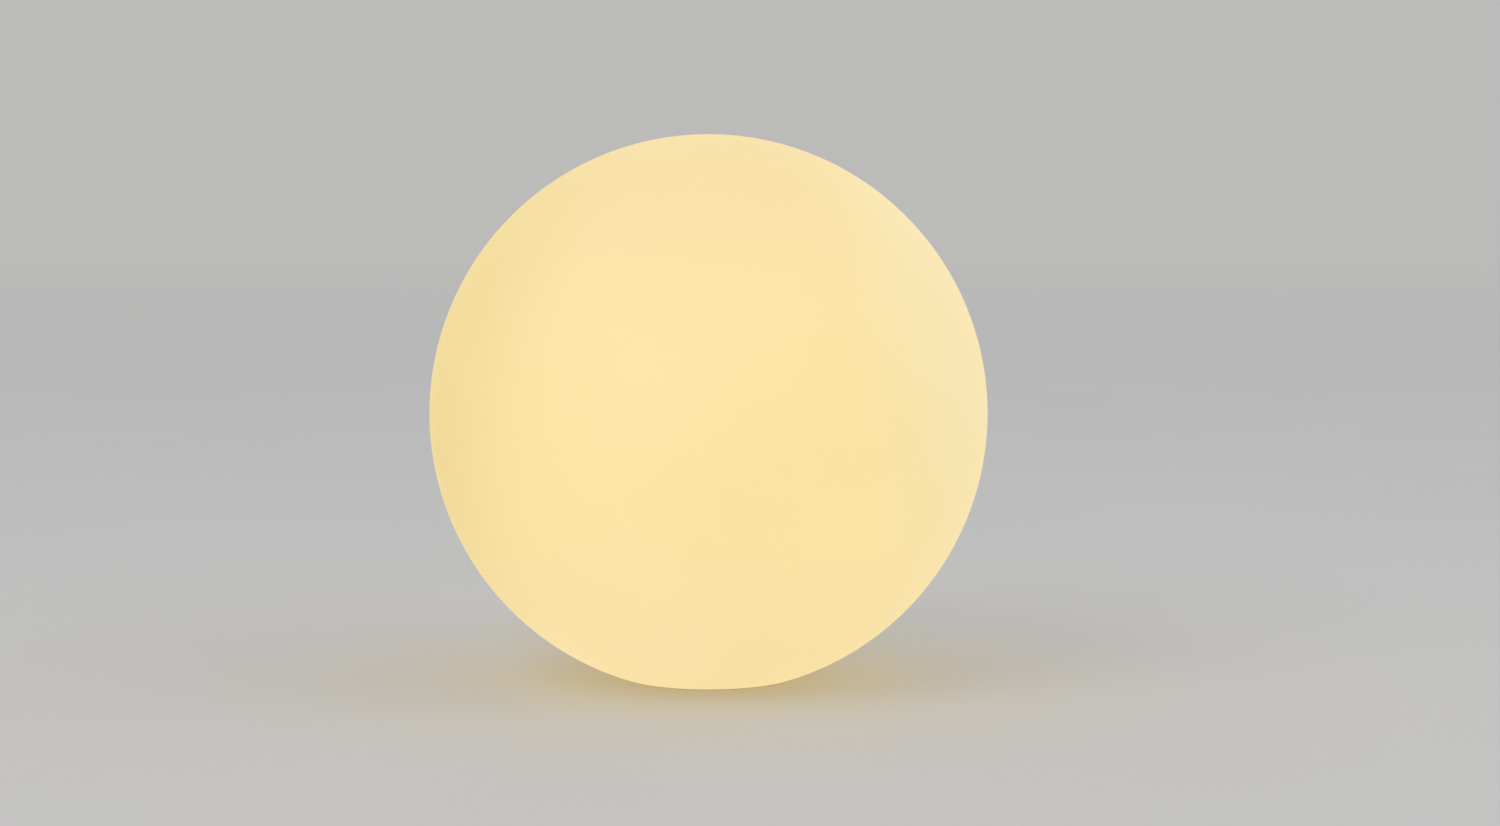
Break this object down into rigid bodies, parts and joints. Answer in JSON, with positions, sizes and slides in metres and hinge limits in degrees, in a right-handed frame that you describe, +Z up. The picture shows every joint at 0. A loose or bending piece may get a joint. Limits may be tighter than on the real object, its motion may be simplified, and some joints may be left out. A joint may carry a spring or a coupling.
{
  "type": "garden globe light",
  "caption": "Round translucent garden light: a plastic ball on a flat foot, screwed over a base with a lampholder, bulb and cable gland.",
  "frame": {"origin": "centre of the foot ring, on the ground", "axes": "+Z up, along the ball's axis; +Y to the rear, where the cable leaves; +X to the right seen from the front"},
  "size_m": [0.3999, 0.3998, 0.3908],
  "materials": {
    "globe_plastic": "satin, translucent, warm white",
    "base_plastic": "fine textured, black",
    "rubber": "matt, black",
    "steel": "bright zinc plated",
    "holder_plastic": "moulded, black",
    "block_plastic": "moulded, off-white",
    "brass": "plain",
    "insulator": "glassy, black",
    "aluminium": "plain",
    "bulb_plastic": "satin, white",
    "diffuser_plastic": "frosted, white",
    "board_white": "coated board",
    "led_yellow": "phosphor",
    "board_green": "coated board",
    "driver_black": "plain",
    "lead_brown": "insulation, brown",
    "lead_blue": "insulation, blue"
  },
  "bodies": {
    "base": {"base_housing": "base_plastic", "base_cover": "base_plastic", "cover_gasket": "rubber", "cover_screws": "steel", "rubber_feet": "rubber", "gland_body": "base_plastic", "gland_washer": "rubber", "gland_lock_nut": "base_plastic", "holder_tube": "steel", "tube_washer": "steel", "tube_nut": "steel", "holder_cap": "holder_plastic", "holder_barrel": "holder_plastic", "contact_block": "block_plastic", "centre_contact": "brass", "side_contact": "brass", "holder_terminal_screws": "brass", "thread_sleeve": "brass", "terminal_block": "block_plastic", "terminal_clamps": "brass", "terminal_screws": "steel", "terminal_block_screw": "steel", "live_lead": "lead_brown", "neutral_lead": "lead_blue"},
    "globe_gasket": {"neck_gasket": "rubber"},
    "globe": {"globe_shell": "globe_plastic", "globe_collar": "globe_plastic"},
    "bulb_ring": {"bulb_seal_ring": "rubber"},
    "bulb": {"bulb_tip_contact": "brass", "bulb_insulator": "insulator", "bulb_cap": "aluminium", "bulb_body": "bulb_plastic", "bulb_diffuser": "diffuser_plastic", "led_board": "board_white", "led_chips": "led_yellow", "driver_board": "board_green", "driver_parts": "driver_black"},
    "cable_seal": {"gland_seal": "rubber"},
    "gland_cap": {"gland_nut": "base_plastic"}
  },
  "joints": [
    {"name": "globe_rise", "type": "slide", "parent": "base", "child": "globe_gasket", "axis": [0, 0, 1], "range_m": [0, 0.018]},
    {"name": "globe_turn", "type": "hinge", "parent": "globe_gasket", "child": "globe", "pos_m": [0, 0, 0.03], "axis": [0, 0, 1], "range_deg": [0, 1080]},
    {"name": "bulb_rise", "type": "slide", "parent": "base", "child": "bulb_ring", "axis": [0, 0, 1], "range_m": [0, 0.01815]},
    {"name": "bulb_turn", "type": "hinge", "parent": "bulb_ring", "child": "bulb", "pos_m": [0, 0, 0.107], "axis": [0, 0, 1], "range_deg": [0, 1800]},
    {"name": "gland_slide", "type": "slide", "parent": "base", "child": "cable_seal", "axis": [0, 1, 0], "range_m": [0, 0.00525]},
    {"name": "gland_turn", "type": "hinge", "parent": "cable_seal", "child": "gland_cap", "pos_m": [0, 0.033, 0.016], "axis": [0, 1, 0], "range_deg": [0, 1260]}
  ],
  "couplings": [
    {"joint": "globe_rise", "follows": "globe_turn", "m_per_rad": 0.00095493},
    {"joint": "bulb_rise", "follows": "bulb_turn", "m_per_rad": 0.00057757},
    {"joint": "gland_slide", "follows": "gland_turn", "m_per_rad": 0.00023873}
  ]
}
